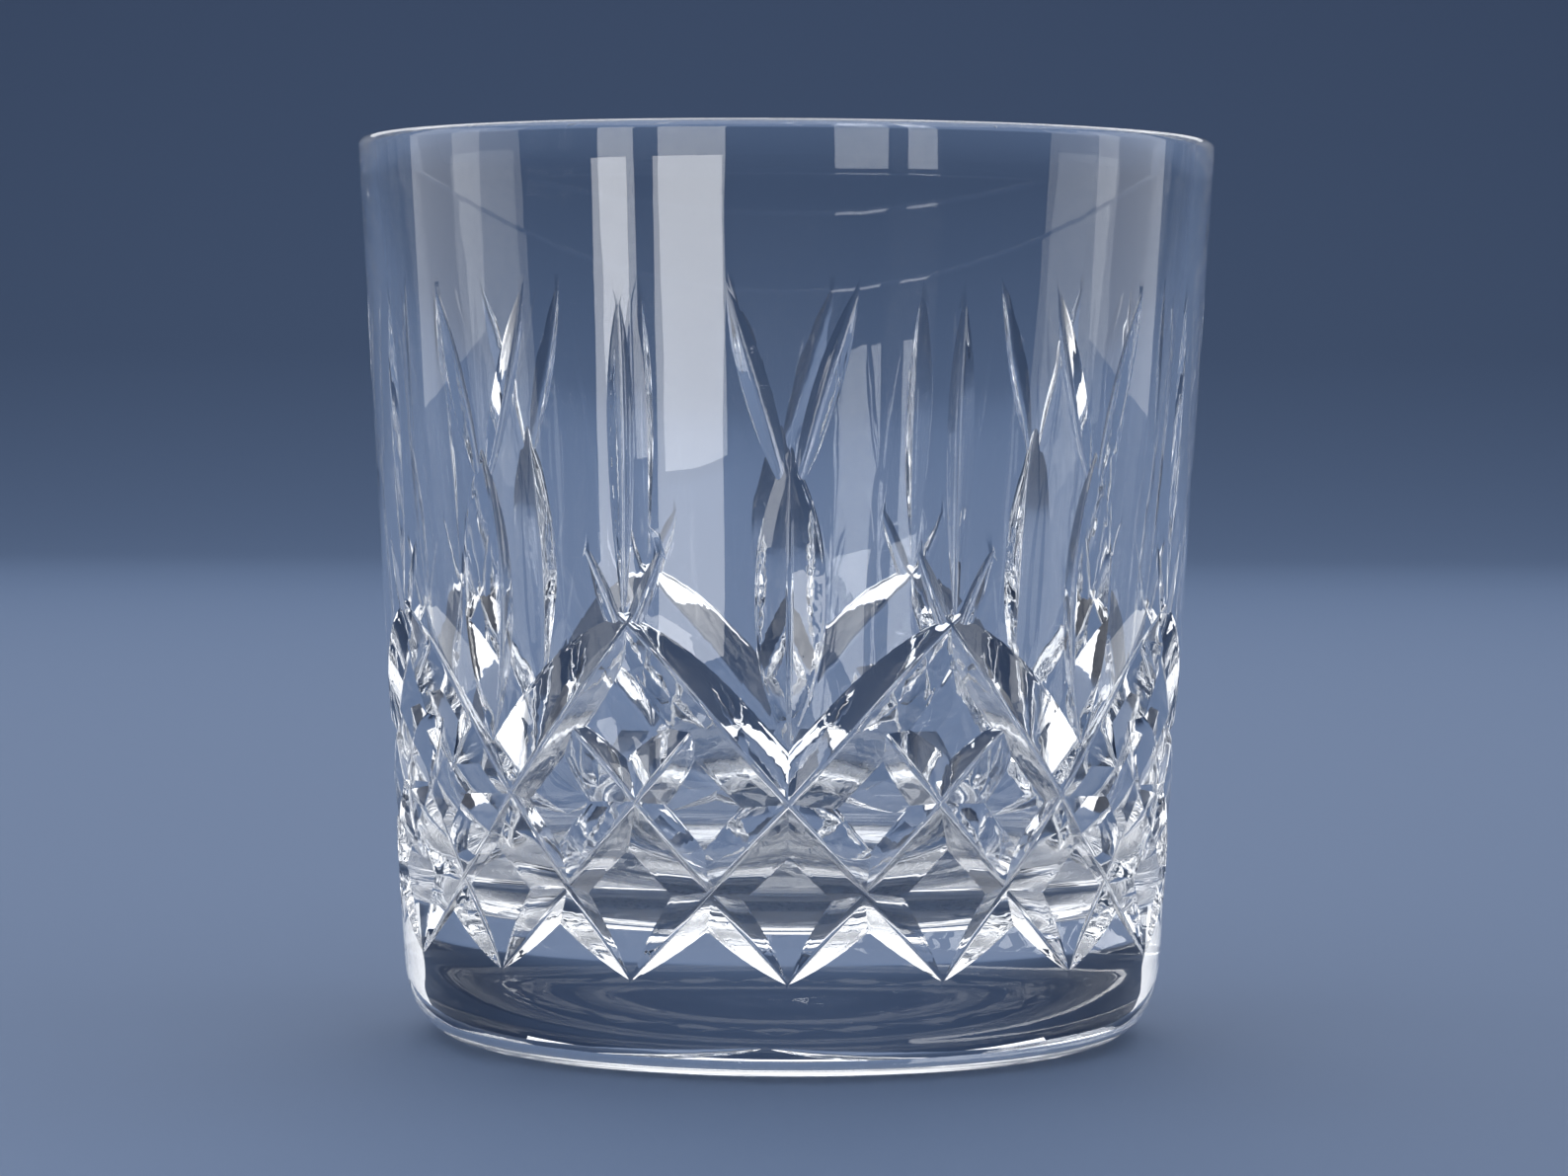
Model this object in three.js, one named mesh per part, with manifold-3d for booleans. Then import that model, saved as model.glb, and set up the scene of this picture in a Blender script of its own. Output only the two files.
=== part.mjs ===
// A cut-crystal whiskey tumbler: one piece of clear glass, turned round the Z axis, with wheel-cut
// decoration in its outside wall. Millimetres and degrees, +Z up, origin at the centre of the foot.
import * as THREE from "three";
import { mergeVertices } from "three/addons/utils/BufferGeometryUtils.js";
import Module from "manifold-3d";

const wasm = await Module();
wasm.setup();

// Overall sizes of the glass.
const HEIGHT = 87;
const RIM_RADIUS = 41.5;
const HEEL_TOP_RADIUS = 37;
const HEEL_HEIGHT = 8.5;
const FOOT_RADIUS = 31;

// Thickness of the glass: at the lip, at the foot of the straight wall, and under the bowl.
const LIP_THICKNESS = 1.7;
const WALL_FOOT_THICKNESS = 4;
const WALL_FOOT_HEIGHT = 28;
const FLOOR_THICKNESS = 13;
const FLOOR_FLAT_RADIUS = 22;

// The cut pattern. Each of the repeats has one peak, where two long mitres start, and one valley,
// where long mitres from the peaks on both sides cross. All cuts are V grooves of one angle.
const REPEATS = 8;
const PEAK_HEIGHT = 41.7;
const TIP_ABOVE_HEEL = 0.7;
const MITRE_HALF_ANGLE = 57;

// The diamond band. A fullness tells how long a cut keeps its depth before it runs out at its
// ends, and a fading tells how much of its depth it loses from its start to its end.
const LONG_MITRE_HALF_WIDTH = 3.5;
const SHORT_MITRE_HALF_WIDTH = 2.9;
const SHORT_MITRE_LEAD = 0.5;
const MITRE_PAST_PEAK = 1.4;
const MITRE_FULLNESS = 4;
const MITRE_FADING = 0.45;

// The upright wedge cut above each valley, and the two splayed cuts that fan out of its top.
const WEDGE_ABOVE_VALLEY = 5;
const WEDGE_BELOW_RIM = 29.5;
const WEDGE_HALF_WIDTH = 2.9;
const SPLAY_BELOW_WEDGE_TOP = 4.5;
const SPLAY_BELOW_RIM = 14.6;
const SPLAY_SPREAD = 8.4;
const SPLAY_HALF_WIDTH = 1.1;

// The tall thin plume cut above each peak, and the two short sprigs beside its foot.
const PLUME_BELOW_PEAK = 0.7;
const PLUME_BELOW_RIM = 15.5;
const PLUME_HALF_WIDTH = 1.3;
const PLUME_FULLNESS = 2.5;
const PLUME_FADING = 0.6;
const SPRIG_BELOW_PEAK = 4.2;
const SPRIG_ABOVE_PEAK = 7.5;
const SPRIG_FOOT_SPREAD = -1.2;
const SPRIG_SPREAD = 5.8;
const SPRIG_HALF_WIDTH = 0.8;
const LEAF_FULLNESS = 2.2;

// How finely round shapes are made.
const ROUND_STEPS = 64;
const HEEL_STEPS = 6;
const LIP_STEPS = 4;
const BOWL_STEPS = 8;
const MITRE_STEPS = 10;
const LEAF_STEPS = 7;

// A cutter stands this far proud of the glass, and runs on past both ends of its cut.
const CUTTER_CLEARANCE = 1.2;
const CUTTER_OVERRUN = 1.06;
const CUTTER_SIDES = 3;

// Places of the pattern. The tips of the diamonds stand at every whole step round the glass, and
// the heights of their crossings divide the band between tips and peaks.
const REPEAT_ANGLE = 360 / REPEATS;
const STEP_ANGLE = REPEAT_ANGLE / 2;
const TIP_HEIGHT = HEEL_HEIGHT + TIP_ABOVE_HEEL;
const STEP_HEIGHT = (PEAK_HEIGHT - TIP_HEIGHT) / 2;
const VALLEY_HEIGHT = TIP_HEIGHT + STEP_HEIGHT;
const WEDGE_BOTTOM = VALLEY_HEIGHT + WEDGE_ABOVE_VALLEY;
const WEDGE_TOP = HEIGHT - WEDGE_BELOW_RIM;
const SPLAY_TOP = HEIGHT - SPLAY_BELOW_RIM;
const PLUME_TOP = HEIGHT - PLUME_BELOW_RIM;

const radians = THREE.MathUtils.degToRad;

// Slope of the straight outside wall, and its radius at a height.
const WALL_SLOPE = (RIM_RADIUS - HEEL_TOP_RADIUS) / (HEIGHT - LIP_THICKNESS / 2 - HEEL_HEIGHT);

function outsideRadius(height) {
  return HEEL_TOP_RADIUS + WALL_SLOPE * (height - HEEL_HEIGHT);
}

// A manifold solid from a three.js geometry, with its shared vertices merged.
function solidOf(geometry) {
  const bare = geometry.clone();
  bare.deleteAttribute("normal");
  bare.deleteAttribute("uv");
  const merged = mergeVertices(bare);
  return new wasm.Manifold(
    new wasm.Mesh({
      numProp: 3,
      vertProperties: merged.getAttribute("position").array,
      triVerts: new Uint32Array(merged.index.array),
    }),
  );
}

// The glass before cutting: foot, rounded heel, sloping wall, polished lip, bowl and floor.
function blankGeometry() {
  const lipRadius = LIP_THICKNESS / 2;
  const lipHeight = HEIGHT - lipRadius;
  const boreFootRadius = outsideRadius(WALL_FOOT_HEIGHT) - WALL_FOOT_THICKNESS;
  const boreSlope =
    (RIM_RADIUS - LIP_THICKNESS - boreFootRadius) / (lipHeight - WALL_FOOT_HEIGHT);
  const boreFloorRadius = boreFootRadius - boreSlope * (WALL_FOOT_HEIGHT - FLOOR_THICKNESS);
  const heelFootRadius = HEEL_TOP_RADIUS - WALL_SLOPE * HEEL_HEIGHT;

  const heel = new THREE.QuadraticBezierCurve(
    new THREE.Vector2(FOOT_RADIUS, 0),
    new THREE.Vector2(heelFootRadius, 0),
    new THREE.Vector2(HEEL_TOP_RADIUS, HEEL_HEIGHT),
  );
  const lip = new THREE.EllipseCurve(
    RIM_RADIUS - lipRadius, lipHeight, lipRadius, lipRadius, 0, Math.PI,
  );
  const bowl = new THREE.QuadraticBezierCurve(
    new THREE.Vector2(boreFootRadius, WALL_FOOT_HEIGHT),
    new THREE.Vector2(boreFloorRadius, FLOOR_THICKNESS),
    new THREE.Vector2(FLOOR_FLAT_RADIUS, FLOOR_THICKNESS),
  );
  const profile = [
    new THREE.Vector2(0, 0),
    ...heel.getPoints(HEEL_STEPS),
    ...lip.getPoints(LIP_STEPS),
    ...bowl.getPoints(BOWL_STEPS),
    new THREE.Vector2(0, FLOOR_THICKNESS),
  ];
  return new THREE.LatheGeometry(profile, ROUND_STEPS).rotateX(Math.PI / 2);
}

// The point of the outside wall at an angle from the front (-Y) and a height.
function wallPoint([angle, height]) {
  const radius = outsideRadius(height);
  return new THREE.Vector3(
    radius * Math.sin(radians(angle)),
    -radius * Math.cos(radians(angle)),
    height,
  );
}

// The direction straight out of the wall at an angle.
function wallNormal(angle) {
  return new THREE.Vector3(
    Math.sin(radians(angle)),
    -Math.cos(radians(angle)),
    -WALL_SLOPE,
  ).normalize();
}

// The cutter of one V groove between two [angle, height] ends: a three-sided prism bent along the
// groove's line. Its keel is deepest in the middle and rises out of the glass at both ends.
function cutter({ start, end, halfWidth, fullness, fading = 0, steps }) {
  const geometry = new THREE.CylinderGeometry(1, 1, 2, CUTTER_SIDES, steps);
  const corners = geometry.getAttribute("position");
  const spread = Math.tan(radians(MITRE_HALF_ANGLE));
  const sideTurn = (2 * Math.PI) / CUTTER_SIDES;
  const lineAt = (way) => [
    THREE.MathUtils.lerp(start[0], end[0], way),
    THREE.MathUtils.lerp(start[1], end[1], way),
  ];
  for (let i = 0; i < corners.count; i += 1) {
    const station = corners.getY(i) * CUTTER_OVERRUN;
    const way = (station + 1) / 2;
    const fullDepth = (halfWidth / spread) * (1 - fading * way * way);
    const depth = fullDepth * (1 - Math.abs(station) ** fullness);
    const blade = depth + CUTTER_CLEARANCE;
    const up = (1 - corners.getZ(i)) / (1 - Math.cos(sideTurn));
    const place = lineAt(way);
    const normal = wallNormal(place[0]);
    const along = wallPoint(lineAt(way + 1 / steps)).sub(wallPoint(lineAt(way - 1 / steps)));
    const across = new THREE.Vector3().crossVectors(normal, along).normalize();
    const corner = wallPoint(place)
      .addScaledVector(normal, blade * up - depth)
      .addScaledVector(across, (corners.getX(i) / Math.sin(sideTurn)) * blade * spread);
    corners.setXYZ(i, corner.x, corner.y, corner.z);
  }
  return solidOf(geometry);
}

// A leaf-shaped groove that runs out alike at both ends.
function leaf(start, end, halfWidth) {
  return cutter({ start, end, halfWidth, fullness: LEAF_FULLNESS, steps: LEAF_STEPS });
}

// The two mitres on one side of a peak; side is 1 or -1. The long one starts just past the peak
// and runs down through a valley to the tip two steps away. The short one starts on the other
// long mitre and ends on the next tip.
function mitres(peakAngle, side) {
  const at = (steps) => peakAngle + side * steps * STEP_ANGLE;
  const heightAt = (steps) => PEAK_HEIGHT - steps * STEP_HEIGHT;
  const groove = { fullness: MITRE_FULLNESS, fading: MITRE_FADING, steps: MITRE_STEPS };
  const pastPeak = -MITRE_PAST_PEAK / STEP_HEIGHT;
  return [
    cutter({
      ...groove,
      start: [at(pastPeak), heightAt(pastPeak)],
      end: [at(2), TIP_HEIGHT],
      halfWidth: LONG_MITRE_HALF_WIDTH,
    }),
    cutter({
      ...groove,
      start: [at(-SHORT_MITRE_LEAD), heightAt(SHORT_MITRE_LEAD)],
      end: [at(1), TIP_HEIGHT],
      halfWidth: SHORT_MITRE_HALF_WIDTH,
    }),
  ];
}

// All cuts of one repeat of the pattern, whose valley is at the given angle.
function repeatCuts(valleyAngle) {
  const peakAngle = valleyAngle + STEP_ANGLE;
  const cuts = [
    leaf([valleyAngle, WEDGE_TOP], [valleyAngle, WEDGE_BOTTOM], WEDGE_HALF_WIDTH),
    cutter({
      start: [peakAngle, PLUME_TOP],
      end: [peakAngle, PEAK_HEIGHT - PLUME_BELOW_PEAK],
      halfWidth: PLUME_HALF_WIDTH,
      fullness: PLUME_FULLNESS,
      fading: PLUME_FADING,
      steps: LEAF_STEPS,
    }),
  ];
  for (const side of [-1, 1]) {
    cuts.push(
      ...mitres(peakAngle, side),
      leaf(
        [valleyAngle, WEDGE_TOP - SPLAY_BELOW_WEDGE_TOP],
        [valleyAngle + side * SPLAY_SPREAD, SPLAY_TOP],
        SPLAY_HALF_WIDTH,
      ),
      leaf(
        [peakAngle + side * SPRIG_FOOT_SPREAD, PEAK_HEIGHT - SPRIG_BELOW_PEAK],
        [peakAngle + side * SPRIG_SPREAD, PEAK_HEIGHT + SPRIG_ABOVE_PEAK],
        SPRIG_HALF_WIDTH,
      ),
    );
  }
  return cuts;
}

let glass = solidOf(blankGeometry());
for (let repeat = 0; repeat < REPEATS; repeat += 1) {
  for (const cut of repeatCuts(repeat * REPEAT_ANGLE)) {
    glass = glass.subtract(cut);
  }
}

const finished = glass.getMesh();
const glassGeometry = new THREE.BufferGeometry()
  .setAttribute("position", new THREE.BufferAttribute(finished.vertProperties, 3))
  .setIndex(new THREE.BufferAttribute(finished.triVerts, 1))
  .toNonIndexed();
glassGeometry.computeVertexNormals();

const clearCrystal = new THREE.MeshStandardMaterial({
  name: "clear_crystal",
  color: 0xe9f2f7,
  roughness: 0.02,
  metalness: 0,
  transparent: true,
  opacity: 0.35,
});

const tumblerGlass = new THREE.Mesh(glassGeometry, clearCrystal);
tumblerGlass.name = "tumbler_glass";

const group = new THREE.Group();
group.name = "whiskey_tumbler";
group.add(tumblerGlass);

export default group;
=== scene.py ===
"""A cut-crystal whiskey tumbler, modelled finely over the CAD frame: one piece of clear glass with
wheel-cut mitres, wedges and splays in its wall. Metres, +Z up, foot on the floor."""

from math import atan2, cos, hypot, pi, radians, sin, tan

import bmesh
import bpy
from mathutils import Matrix, Vector


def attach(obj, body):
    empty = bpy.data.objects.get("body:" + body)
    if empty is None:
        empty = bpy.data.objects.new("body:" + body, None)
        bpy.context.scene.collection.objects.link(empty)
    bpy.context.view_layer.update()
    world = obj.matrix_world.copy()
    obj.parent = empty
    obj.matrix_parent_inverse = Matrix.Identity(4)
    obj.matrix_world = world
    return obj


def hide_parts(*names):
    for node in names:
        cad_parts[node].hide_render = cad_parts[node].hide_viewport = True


MM = 0.001

# Overall sizes of the glass.
HEIGHT = 87 * MM
RIM_RADIUS = 41.5 * MM
HEEL_TOP_RADIUS = 37 * MM
HEEL_HEIGHT = 8.5 * MM
FOOT_RADIUS = 31 * MM
LIP_THICKNESS = 1.7 * MM
WALL_FOOT_THICKNESS = 4 * MM
WALL_FOOT_HEIGHT = 28 * MM
FLOOR_THICKNESS = 13 * MM
FLOOR_FLAT_RADIUS = 22 * MM

# The edge of the flat standing ring, and the shallow hollow ground into the underside inside it.
RING_EDGE = 0.55 * MM
HOLLOW_RADIUS = 27 * MM
HOLLOW_DEPTH = 0.5 * MM
HOLLOW_FLATNESS = 0.8

# The bowl's floor is dished this much in its middle, and at half its flat radius.
DISH_DEPTH = 0.2 * MM
DISH_DEPTH_HALFWAY = 0.15 * MM

# The small flat disc that closes the blank at its axis, below and in the bowl.
POLE_RADIUS = 0.5 * MM

WALL_SLOPE = (RIM_RADIUS - HEEL_TOP_RADIUS) / (HEIGHT - LIP_THICKNESS / 2 - HEEL_HEIGHT)
# Radius that the straight wall would have at the floor: the cuts are laid out flat for it.
ROLL_RADIUS = HEEL_TOP_RADIUS - WALL_SLOPE * HEEL_HEIGHT

# The cut pattern. Each of the repeats has one peak, where two long mitres start, and one valley,
# where long mitres from both sides cross. Heights and half widths of the cuts are in millimetres,
# and their places round the glass in degrees. A fullness tells how long a cut keeps its depth
# before it runs out at its ends, and a fading how much of it is lost from its start to its end.
REPEATS = 8
REPEAT_LENGTH = 2 * pi * ROLL_RADIUS / REPEATS
PEAK_HEIGHT = 41.7
TIP_HEIGHT = 9.2
MITRE_PAST_PEAK = 1.4
LONG_MITRE_HALF_WIDTH = 3.5
SHORT_MITRE_HALF_WIDTH = 2.9
SHORT_MITRE_LEAD = 0.5
MITRE_FULLNESS = 4
MITRE_FADING = 0.45

WEDGE_TOP = 57.5
WEDGE_BOTTOM = 30.5
WEDGE_HALF_WIDTH = 2.9
SPLAY_BOTTOM = 53
SPLAY_TOP = 72.4
SPLAY_FOOT_SPREAD = 0.3
SPLAY_SPREAD = 8.4
SPLAY_HALF_WIDTH = 1.1
LEAF_FULLNESS = 2.2

PLUME_TOP = 71.5
PLUME_BOTTOM = 41
PLUME_HALF_WIDTH = 1.3
PLUME_FULLNESS = 2.5
PLUME_FADING = 0.6
SPRIG_BOTTOM = 37.5
SPRIG_TOP = 49.2
SPRIG_FOOT_SPREAD = -1.2
SPRIG_SPREAD = 5.8
SPRIG_HALF_WIDTH = 0.75

# The cutting blade: a V whose keel is bevelled round. It stands proud of the glass by a clearance
# and runs on past both ends of its cut.
BLADE_SPREAD = tan(radians(57))
BLADE_CLEARANCE = 1.2 * MM
BLADE_OVERRUN = 1.06
KEEL_ROUNDING = 0.45 * MM

# How finely round shapes are made.
ROUND_STEPS = 288
HOLLOW_STEPS = 12
HEEL_STEPS = 30
WALL_STEPS = 24
LIP_STEPS = 20
BOWL_STEPS = 40
BLADE_STATIONS = 32
KEEL_STEPS = 5
CUT_EDGE_ANGLE = radians(16)

# The finish of the glass. Heights of its relief are in millimetres.
DEEPEST_CUT_AT_FLOOR = 3.9 * MM
DEEPEST_CUT_SLOPE = 0.03
STREAK_STRETCH = 0.12
STREAK_HEIGHT = 0.016
RIPPLE_HEIGHT = 0.022
SCUFF_HEIGHT = 0.02
SMEAR_ROUGHNESS = 0.012
SCUFF_ROUGHNESS = 0.6
CRYSTAL_IOR = 1.55

# How often light may turn inside the glass.
LIGHT_BOUNCES = 96

# The studio: a sheet of floor that sweeps up into a backdrop, and the camera.
SHEET_WIDTH = 12
SHEET_LENGTH = 2.4
SWEEP_RADIUS = 0.5
SWEEP_STEPS = 24
BACKDROP_RISE = 1.6
CAMERA_DISTANCE = 0.459
CAMERA_HEIGHT = 0.0639
CAMERA_AZIMUTH = radians(-0.8)
CAMERA_DIP = 0.0445
CAMERA_ROLL = 0.0058
LENS = 107.9
SENSOR_WIDTH = 36


def outside_radius(height):
    """Radius of the straight outside wall."""
    return HEEL_TOP_RADIUS + WALL_SLOPE * (height - HEEL_HEIGHT)


# ---------------------------------------------------------------------------------- hand tools


def deselect_everything():
    if bpy.context.object and bpy.context.object.mode != "OBJECT":
        bpy.ops.object.mode_set(mode="OBJECT")
    bpy.ops.object.select_all(action="DESELECT")


def activate(piece):
    deselect_everything()
    piece.select_set(True)
    bpy.context.view_layer.objects.active = piece


def named(name):
    piece = bpy.context.object
    piece.name = name
    piece.data.name = name
    return piece


def settle():
    """Puts the active piece's place and turn into its mesh."""
    bpy.ops.object.transform_apply(location=True, rotation=True, scale=True)


def add_modifier(piece, kind, **settings):
    modifier = piece.modifiers.new(kind.title(), kind)
    for key, value in settings.items():
        setattr(modifier, key, value)
    return modifier


def finish_modifiers(piece):
    activate(piece)
    for modifier in list(piece.modifiers):
        bpy.ops.object.modifier_apply(modifier=modifier.name)


def bezier(start, middle, end, steps):
    """Points of a quadratic curve after its start."""
    points = []
    for i in range(1, steps + 1):
        t = i / steps
        points.append(
            tuple(
                (1 - t) ** 2 * a + 2 * t * (1 - t) * b + t * t * c
                for a, b, c in zip(start, middle, end)
            )
        )
    return points


# ---------------------------------------------------------------------------------- the blank


def straight(start, end, steps):
    """Points of a straight line after its start."""
    return [
        tuple(a + (b - a) * (i / steps) for a, b in zip(start, end)) for i in range(1, steps + 1)
    ]


def blank_profile():
    """(radius, height) from the middle of the underside, round the lip, to the middle of the bowl."""
    lip_radius = LIP_THICKNESS / 2
    lip_height = HEIGHT - lip_radius
    bore_foot = outside_radius(WALL_FOOT_HEIGHT) - WALL_FOOT_THICKNESS
    bore_slope = (RIM_RADIUS - LIP_THICKNESS - bore_foot) / (lip_height - WALL_FOOT_HEIGHT)
    bore_floor = bore_foot - bore_slope * (WALL_FOOT_HEIGHT - FLOOR_THICKNESS)

    points = [(POLE_RADIUS, HOLLOW_DEPTH)]
    hollow_turn = (HOLLOW_RADIUS * HOLLOW_FLATNESS, HOLLOW_DEPTH)
    points += bezier(points[-1], hollow_turn, (HOLLOW_RADIUS, 0), HOLLOW_STEPS)
    points.append((FOOT_RADIUS - RING_EDGE, 0))
    points += bezier(points[-1], (ROLL_RADIUS, 0), (HEEL_TOP_RADIUS, HEEL_HEIGHT), HEEL_STEPS)
    points += straight(points[-1], (outside_radius(lip_height), lip_height), WALL_STEPS)
    for i in range(1, LIP_STEPS + 1):
        turn = pi * i / LIP_STEPS
        middle = RIM_RADIUS - lip_radius
        points.append((middle + lip_radius * cos(turn), lip_height + lip_radius * sin(turn)))
    points += straight(points[-1], (bore_foot, WALL_FOOT_HEIGHT), WALL_STEPS)
    bowl_end = (FLOOR_FLAT_RADIUS, FLOOR_THICKNESS)
    points += bezier(points[-1], (bore_floor, FLOOR_THICKNESS), bowl_end, BOWL_STEPS)
    points.append((FLOOR_FLAT_RADIUS / 2, FLOOR_THICKNESS - DISH_DEPTH_HALFWAY))
    points.append((POLE_RADIUS, FLOOR_THICKNESS - DISH_DEPTH))
    return points


def make_blank():
    """The uncut glass: a disc whose edge is drawn out ring by ring along the profile."""
    profile = blank_profile()
    deselect_everything()
    radius, height = profile[0]
    bpy.ops.mesh.primitive_circle_add(
        vertices=ROUND_STEPS, radius=radius, fill_type="NGON", location=(0, 0, 0)
    )
    blank = named("crystal_tumbler")
    bpy.ops.object.mode_set(mode="EDIT")
    bpy.ops.mesh.select_all(action="SELECT")
    bpy.ops.transform.translate(value=(0, 0, height))
    bpy.ops.mesh.select_mode(type="EDGE")
    bpy.ops.mesh.select_all(action="SELECT")
    for next_radius, next_height in profile[1:]:
        bpy.ops.mesh.extrude_edges_move(
            TRANSFORM_OT_translate={"value": (0, 0, next_height - height)}
        )
        scale = next_radius / radius
        bpy.ops.transform.resize(value=(scale, scale, 1), center_override=(0, 0, next_height))
        radius, height = next_radius, next_height
    bpy.ops.mesh.edge_face_add()
    bpy.ops.mesh.select_all(action="SELECT")
    bpy.ops.mesh.normals_make_consistent(inside=False)
    bpy.ops.object.mode_set(mode="OBJECT")
    return blank


# ---------------------------------------------------------------------------------- the cuts


def flat_cutter(name, start, end, half_width, fullness, fading):
    """A V-edged blade laid on the unrolled wall between two (along, height) ends, with its keel
    deepest in the middle and rising out of the glass at both ends. Its keel points to +Y."""
    length = hypot(end[0] - start[0], end[1] - start[1]) * BLADE_OVERRUN
    deepest = half_width / BLADE_SPREAD
    blade = deepest + BLADE_CLEARANCE
    radius = blade / (1 + cos(pi / 3))
    deselect_everything()
    bpy.ops.mesh.primitive_cylinder_add(vertices=3, radius=radius, depth=length)
    cutter = named(name)
    bpy.ops.object.mode_set(mode="EDIT")
    bpy.ops.mesh.select_all(action="SELECT")
    bpy.ops.transform.translate(value=(0, radius * cos(pi / 3) - BLADE_CLEARANCE, 0))
    bpy.ops.transform.resize(
        value=(BLADE_SPREAD * blade / (radius * sin(pi / 3)), 1, 1), center_override=(0, 0, 0)
    )
    bpy.ops.mesh.select_mode(type="EDGE")
    bpy.ops.mesh.select_all(action="DESELECT")
    mesh = bmesh.from_edit_mesh(cutter.data)
    for edge in mesh.edges:
        edge.select_set(all(corner.co.y > deepest / 2 for corner in edge.verts))
    bpy.ops.mesh.bevel(offset=KEEL_ROUNDING, segments=KEEL_STEPS, affect="EDGES")
    bpy.ops.mesh.select_all(action="DESELECT")
    mesh = bmesh.from_edit_mesh(cutter.data)
    for edge in mesh.edges:
        edge.select_set(abs(edge.verts[0].co.z - edge.verts[1].co.z) > length / 2)
    bpy.ops.mesh.subdivide(number_cuts=BLADE_STATIONS - 1)
    bpy.ops.mesh.select_mode(type="VERT")
    for ring in range(BLADE_STATIONS + 1):
        way = ring / BLADE_STATIONS
        height = length * (way - 0.5)
        share = abs(2 * height / length) * BLADE_OVERRUN
        depth = deepest * (1 - share**fullness) * (1 - fading * way * way)
        scale = (depth + BLADE_CLEARANCE) / blade
        mesh = bmesh.from_edit_mesh(cutter.data)
        for corner in mesh.verts:
            corner.select_set(abs(corner.co.z - height) < length / BLADE_STATIONS / 4)
        bpy.ops.transform.resize(
            value=(scale, scale, 1), center_override=(0, -BLADE_CLEARANCE, height)
        )
    bpy.ops.object.mode_set(mode="OBJECT")
    cutter.location = ((start[0] + end[0]) / 2, 0, (start[1] + end[1]) / 2)
    cutter.rotation_euler = (0, atan2(end[0] - start[0], end[1] - start[1]), 0)
    settle()
    return cutter


def roll_onto_wall(cutter):
    """Repeats a flat cutter along the unrolled wall, and rolls the row up into the wall's cone."""
    add_modifier(
        cutter,
        "ARRAY",
        count=REPEATS,
        use_relative_offset=False,
        use_constant_offset=True,
        constant_offset_displace=(REPEAT_LENGTH, 0, 0),
    )
    finish_modifiers(cutter)
    add_modifier(
        cutter,
        "SIMPLE_DEFORM",
        deform_method="BEND",
        deform_axis="Z",
        angle=cutter.dimensions.x / ROLL_RADIUS,
    )
    finish_modifiers(cutter)
    cutter.location.y = -ROLL_RADIUS
    settle()
    add_modifier(
        cutter,
        "SIMPLE_DEFORM",
        deform_method="TAPER",
        deform_axis="Z",
        factor=cutter.dimensions.z * WALL_SLOPE / ROLL_RADIUS,
    )
    finish_modifiers(cutter)


def pattern_rows():
    """Name, two (degrees round, mm up) ends, half width in mm, fullness and fading of each cut of a
    repeat, whose valley is at 0 degrees."""
    step = 180 / REPEATS
    rise = (PEAK_HEIGHT - TIP_HEIGHT) / 2
    rows = [
        ("wedge", (0, WEDGE_TOP), (0, WEDGE_BOTTOM), WEDGE_HALF_WIDTH, LEAF_FULLNESS, 0),
        (
            "plume",
            (step, PLUME_TOP),
            (step, PLUME_BOTTOM),
            PLUME_HALF_WIDTH,
            PLUME_FULLNESS,
            PLUME_FADING,
        ),
    ]
    for side, hand in ((-1, "left"), (1, "right")):
        rows += [
            (
                "long_mitre_" + hand,
                (step - side * step * MITRE_PAST_PEAK / rise, PEAK_HEIGHT + MITRE_PAST_PEAK),
                (step + side * 2 * step, TIP_HEIGHT),
                LONG_MITRE_HALF_WIDTH,
                MITRE_FULLNESS,
                MITRE_FADING,
            ),
            (
                "short_mitre_" + hand,
                (step - side * step * SHORT_MITRE_LEAD, PEAK_HEIGHT - rise * SHORT_MITRE_LEAD),
                (step + side * step, TIP_HEIGHT),
                SHORT_MITRE_HALF_WIDTH,
                MITRE_FULLNESS,
                MITRE_FADING,
            ),
            (
                "splay_" + hand,
                (side * SPLAY_FOOT_SPREAD, SPLAY_BOTTOM),
                (side * SPLAY_SPREAD, SPLAY_TOP),
                SPLAY_HALF_WIDTH,
                LEAF_FULLNESS,
                0,
            ),
            (
                "sprig_" + hand,
                (step + side * SPRIG_FOOT_SPREAD, SPRIG_BOTTOM),
                (step + side * SPRIG_SPREAD, SPRIG_TOP),
                SPRIG_HALF_WIDTH,
                LEAF_FULLNESS,
                0,
            ),
        ]
    return rows


def cut_glass():
    """The blank with every row of the pattern cut into its wall."""
    glass = make_blank()
    for name, start, end, half_width, fullness, fading in pattern_rows():
        ends = [(radians(turn) * ROLL_RADIUS, height * MM) for turn, height in (start, end)]
        cutter = flat_cutter(name, *ends, half_width * MM, fullness, fading)
        roll_onto_wall(cutter)
        add_modifier(glass, "BOOLEAN", object=cutter, operation="DIFFERENCE", solver="MANIFOLD")
        finish_modifiers(glass)
        bpy.data.objects.remove(cutter)
    activate(glass)
    bpy.ops.object.shade_smooth_by_angle(angle=CUT_EDGE_ANGLE)
    return glass


# ---------------------------------------------------------------------------------- materials


class Value:
    """A shader socket that takes part in sums."""

    def __init__(self, material, socket):
        self.material = material
        self.socket = socket

    def maths(self, operation, other=0.0, turned=False):
        first, second = (other, self) if turned else (self, other)
        return self.material.node(
            "ShaderNodeMath", {"operation": operation}, {0: first, 1: second}
        )["Value"]

    def __add__(self, other):
        return self.maths("ADD", other)

    def __sub__(self, other):
        return self.maths("SUBTRACT", other)

    def __rsub__(self, other):
        return self.maths("SUBTRACT", other, turned=True)

    def __mul__(self, other):
        return self.maths("MULTIPLY", other)

    __radd__ = __add__
    __rmul__ = __mul__


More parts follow.
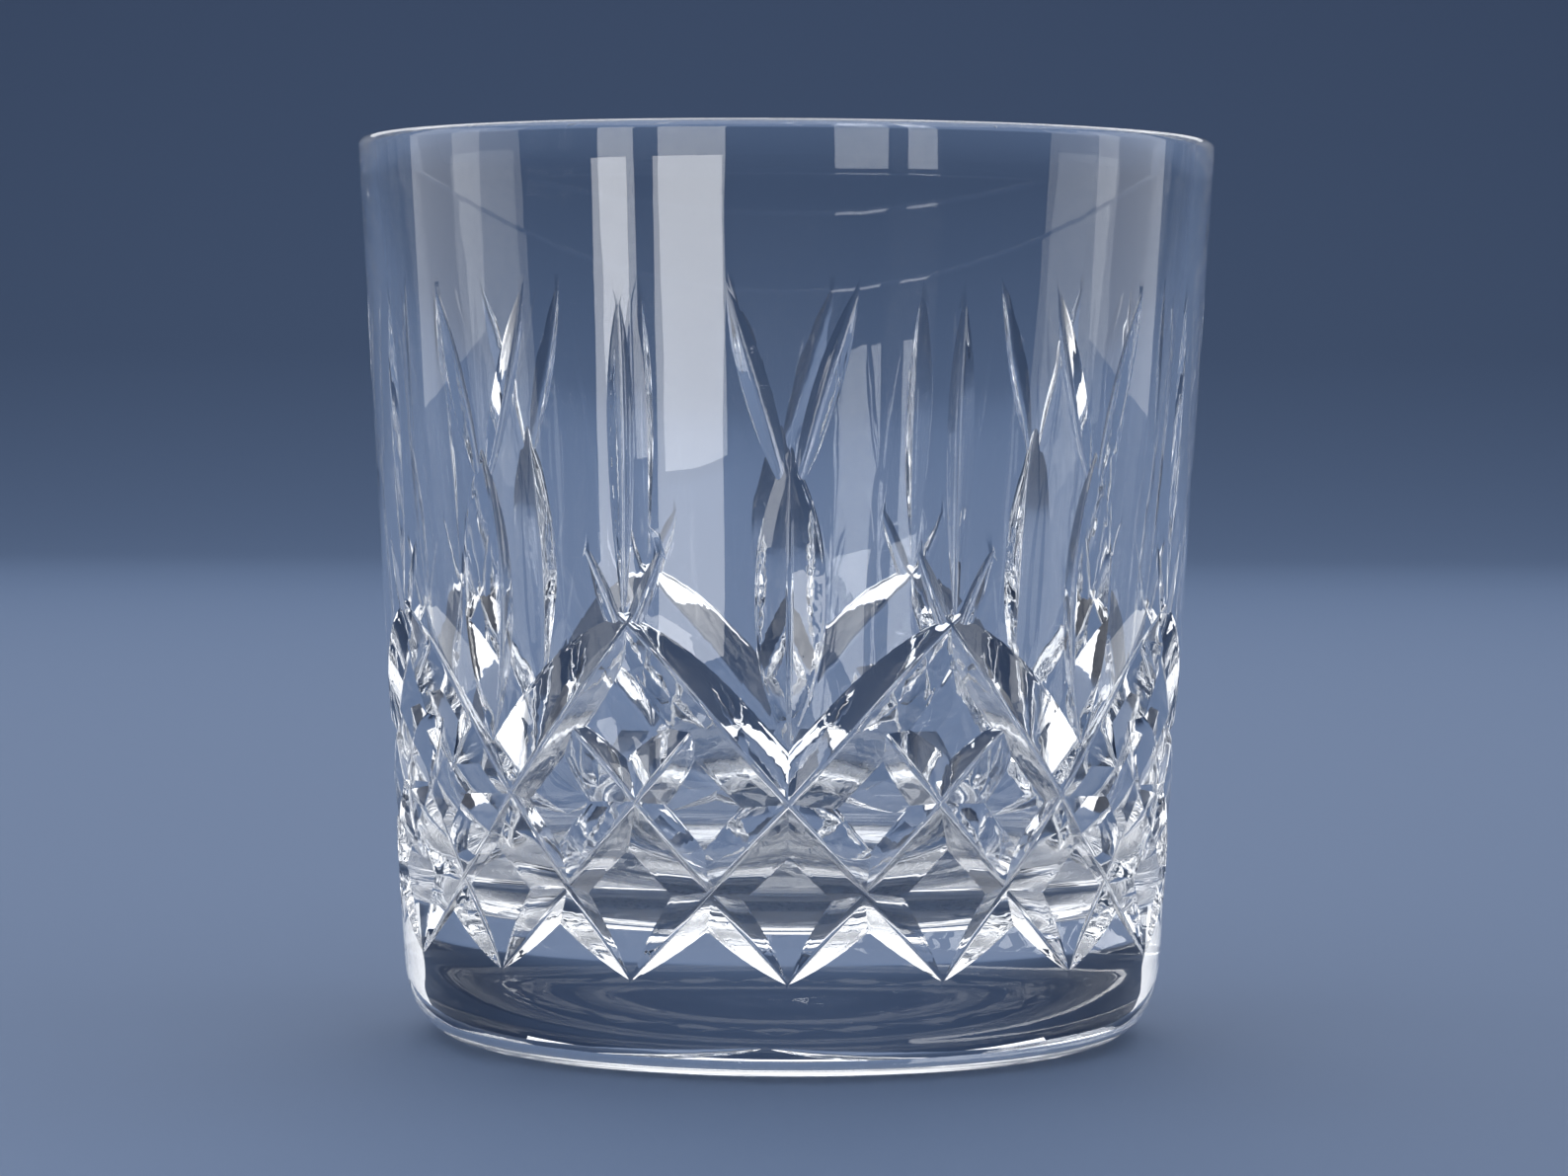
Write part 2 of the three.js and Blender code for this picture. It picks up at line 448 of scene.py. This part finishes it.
class Finish:
    """A material and the one method that adds its nodes."""

    def __init__(self, name):
        self.material = bpy.data.materials.new(name)
        self.material.use_nodes = True
        self.tree = self.material.node_tree
        self.tree.nodes.clear()

    def node(self, kind, settings=None, sockets=None):
        """Adds a node, and gives back its outputs by name."""
        node = self.tree.nodes.new(kind)
        for key, value in (settings or {}).items():
            setattr(node, key, value)
        for key, value in (sockets or {}).items():
            socket = node.inputs[key]
            if isinstance(key, str):
                socket = next(put for put in node.inputs if put.name == key and put.enabled)
            if isinstance(value, Value):
                self.tree.links.new(value.socket, socket)
            else:
                socket.default_value = value
        return {out.name: Value(self, out) for out in node.outputs if out.enabled}

    def fade(self, value, start, end):
        """0 up to the start, 1 from the end on, and smooth between them."""
        return self.node(
            "ShaderNodeMapRange",
            {"interpolation_type": "SMOOTHSTEP"},
            {"Value": value, "From Min": start, "From Max": end},
        )["Result"]

    def noise(self, place, scale, detail, roughness):
        return self.node(
            "ShaderNodeTexNoise",
            None,
            {"Vector": place, "Scale": scale, "Detail": detail, "Roughness": roughness},
        )["Fac"]


def crystal_finish():
    """Clear lead crystal: faint drawn streaks in the wall, the wheel's ripple left in the cuts, and
    the foot's standing ring frosted by use."""
    finish = Finish("clear_lead_crystal")
    place = finish.node("ShaderNodeTexCoord")["Object"]
    x, y, height = finish.node("ShaderNodeSeparateXYZ", None, {"Vector": place}).values()
    radius = (x * x + y * y).maths("SQRT")

    # The cut faces lie inside the wall's cone, but not as deep as the bore, which is nearer the
    # cone towards the rim.
    depth = height * WALL_SLOPE + ROLL_RADIUS - radius
    deepest_cut = DEEPEST_CUT_AT_FLOOR - height * DEEPEST_CUT_SLOPE
    in_wall = finish.fade(depth, 0.06 * MM, 0.25 * MM)
    before_bore = finish.fade(deepest_cut - depth, 0, 0.2 * MM)
    above_heel = finish.fade(height, 8.6 * MM, 9.4 * MM)
    cut_faces = in_wall * before_bore * above_heel

    under_foot = finish.fade(0.25 * MM - height, 0, 0.2 * MM)
    standing_ring = under_foot * finish.fade(radius, HOLLOW_RADIUS - 1.5 * MM, HOLLOW_RADIUS)
    scuffs = finish.noise(place, 900, detail=4, roughness=0.7)
    smears = finish.noise(place, 45, detail=3, roughness=0.6)
    roughness = smears * SMEAR_ROUGHNESS + standing_ring * scuffs * SCUFF_ROUGHNESS

    drawn = finish.node(
        "ShaderNodeVectorMath", {"operation": "MULTIPLY"}, {0: place, 1: (1, 1, STREAK_STRETCH)}
    )["Vector"]
    streaks = finish.noise(drawn, 220, detail=2, roughness=0.5)
    ripple = finish.noise(place, 520, detail=2, roughness=0.55)
    relief = (
        streaks * STREAK_HEIGHT
        + cut_faces * ripple * RIPPLE_HEIGHT
        + standing_ring * scuffs * SCUFF_HEIGHT
    )
    normal = finish.node("ShaderNodeBump", None, {"Distance": MM, "Height": relief})["Normal"]

    tint = finish.node(
        "ShaderNodeMix",
        {"data_type": "RGBA"},
        {"Factor": smears, "A": (0.955, 0.975, 0.995, 1), "B": (0.985, 0.99, 1.0, 1)},
    )["Result"]
    shader = finish.node(
        "ShaderNodeBsdfPrincipled",
        None,
        {
            "Base Color": tint,
            "Roughness": roughness,
            "Normal": normal,
            "IOR": CRYSTAL_IOR,
            "Transmission Weight": 1.0,
        },
    )
    finish.node("ShaderNodeOutputMaterial", None, {"Surface": shader["BSDF"]})
    return finish.material


def floor_finish():
    finish = Finish("matt_floor")
    shader = finish.node(
        "ShaderNodeBsdfPrincipled",
        None,
        {"Base Color": (0.1, 0.155, 0.27, 1), "Roughness": 0.8},
    )
    finish.node("ShaderNodeOutputMaterial", None, {"Surface": shader["BSDF"]})
    return finish.material


# ---------------------------------------------------------------------------------- the studio


def make_floor():
    """A blue-grey sheet that runs back from the camera and sweeps up behind the glass."""
    deselect_everything()
    bpy.ops.mesh.primitive_plane_add(size=1, location=(0, 0, 0))
    floor = named("studio_floor")
    bpy.ops.object.mode_set(mode="EDIT")
    bpy.ops.mesh.select_all(action="SELECT")
    bpy.ops.transform.resize(value=(SHEET_WIDTH, SHEET_LENGTH, 1), center_override=(0, 0, 0))
    bpy.ops.mesh.select_mode(type="EDGE")
    bpy.ops.mesh.select_all(action="DESELECT")
    mesh = bmesh.from_edit_mesh(floor.data)
    for edge in mesh.edges:
        edge.select_set(all(corner.co.y > SHEET_LENGTH / 3 for corner in edge.verts))
    for i in range(SWEEP_STEPS):
        first, second = (pi / 2 * (i + j) / SWEEP_STEPS for j in (0, 1))
        rise = SWEEP_RADIUS * (cos(first) - cos(second))
        run = SWEEP_RADIUS * (sin(second) - sin(first))
        bpy.ops.mesh.extrude_edges_move(TRANSFORM_OT_translate={"value": (0, run, rise)})
    bpy.ops.mesh.extrude_edges_move(TRANSFORM_OT_translate={"value": (0, 0, BACKDROP_RISE)})
    bpy.ops.object.mode_set(mode="OBJECT")
    bpy.ops.object.shade_smooth()
    floor.data.materials.append(floor_finish())


def area_light(name, place, target, width, height, power):
    light = bpy.data.lights.new(name, "AREA")
    light.shape = "RECTANGLE"
    light.size = width
    light.size_y = height
    light.energy = power
    lamp = bpy.data.objects.new(name, light)
    lamp.location = place
    aim = Vector(target) - Vector(place)
    lamp.rotation_euler = aim.to_track_quat("-Z", "Y").to_euler()
    bpy.context.scene.collection.objects.link(lamp)
    return lamp


def make_lights():
    """Soft panels round and above the glass, and two small panes near its front that show in the
    wall as the upright reflections of a window."""
    middle = (0, 0, 0.045)
    above = (0, 0.15, 0.8)
    area_light("left_panel", (-0.9, 0.2, 0.22), middle, 0.5, 0.8, 1.7)
    area_light("right_panel", (0.9, 0.2, 0.22), middle, 0.5, 0.8, 1.7)
    area_light("top_panel", above, (above[0], above[1], 0), 1.6, 2.0, 13.5)
    area_light("back_panel", (0, 1.15, 0.66), middle, 1.6, 0.6, 4.4)
    wall = (0, -0.035, 0.039)
    wide = area_light("window_pane_wide", (-0.102, -0.225, 0.039), wall, 0.074, 0.075, 0.08)
    slim = area_light("window_pane_slim", (-0.172, -0.177, 0.039), wall, 0.04, 0.075, 0.045)
    for pane in (wide, slim):
        pane.visible_camera = False
    world = bpy.data.worlds.new("studio_air")
    world.use_nodes = True
    world.node_tree.nodes["Background"].inputs["Color"].default_value = (0.04, 0.06, 0.1, 1)
    world.node_tree.nodes["Background"].inputs["Strength"].default_value = 1.0
    bpy.context.scene.world = world


def make_camera():
    data = bpy.data.cameras.new("camera")
    data.lens = LENS
    data.sensor_width = SENSOR_WIDTH
    camera = bpy.data.objects.new("camera", data)
    camera.matrix_world = (
        Matrix.Rotation(CAMERA_AZIMUTH, 4, "Z")
        @ Matrix.Translation((0, -CAMERA_DISTANCE, CAMERA_HEIGHT))
        @ Matrix.Rotation(pi / 2 - CAMERA_DIP, 4, "X")
        @ Matrix.Rotation(CAMERA_ROLL, 4, "Z")
    )
    bpy.context.scene.collection.objects.link(camera)
    bpy.context.scene.camera = camera


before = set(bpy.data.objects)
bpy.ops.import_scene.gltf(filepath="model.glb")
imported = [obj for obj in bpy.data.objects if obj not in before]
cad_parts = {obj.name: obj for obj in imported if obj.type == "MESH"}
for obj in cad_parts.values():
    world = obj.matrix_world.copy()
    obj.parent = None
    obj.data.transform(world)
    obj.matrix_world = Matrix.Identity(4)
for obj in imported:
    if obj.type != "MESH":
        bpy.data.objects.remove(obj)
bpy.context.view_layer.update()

tumbler = cut_glass()
tumbler.data.materials.clear()
tumbler.data.materials.append(crystal_finish())
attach(tumbler, "root")
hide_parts("tumbler_glass")

make_floor()
make_lights()
make_camera()

scene = bpy.context.scene
scene.view_settings.view_transform = "Standard"
scene.cycles.max_bounces = LIGHT_BOUNCES
scene.cycles.transmission_bounces = LIGHT_BOUNCES
scene.cycles.glossy_bounces = LIGHT_BOUNCES
